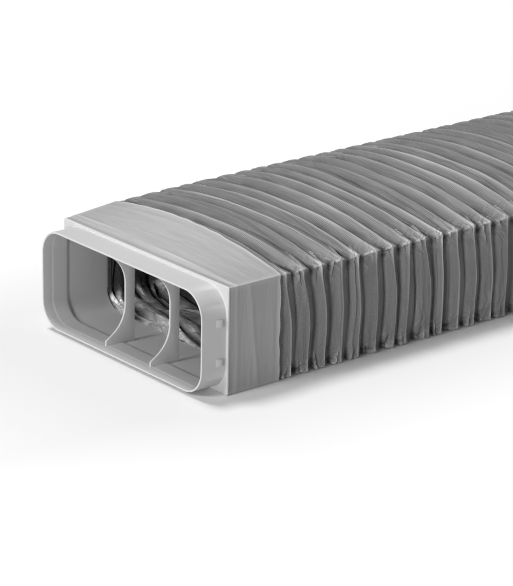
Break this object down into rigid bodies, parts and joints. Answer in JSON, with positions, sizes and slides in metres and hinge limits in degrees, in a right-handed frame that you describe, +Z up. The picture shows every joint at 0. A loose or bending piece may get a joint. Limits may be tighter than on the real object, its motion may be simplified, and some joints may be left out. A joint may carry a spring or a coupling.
{
  "type": "flexible flat duct",
  "caption": "Flexible flat ventilation duct: a spiral-wire hose with a folded fabric jacket and foil liner, taped at both ends to moulded connectors with vaned spigots.",
  "frame": {"origin": "middle of the duct's length and width, at the level it lies on", "axes": "+Y along the duct towards its far connector, +X across its width, +Z up through its flat height"},
  "size_m": [0.2264, 1, 0.1129],
  "materials": {
    "connector_plastic": "satin light grey moulding",
    "tape_film": "satin light grey film",
    "jacket_fabric": "coated woven fabric",
    "liner_foil": "glossy dark foil",
    "spring_steel": "drawn wire"
  },
  "bodies": {
    "root": {"front_connector": "connector_plastic", "rear_connector": "connector_plastic", "front_tape_band": "tape_film", "rear_tape_band": "tape_film", "outer_jacket": "jacket_fabric", "inner_liner": "liner_foil", "support_wire": "spring_steel"}
  },
  "joints": []
}
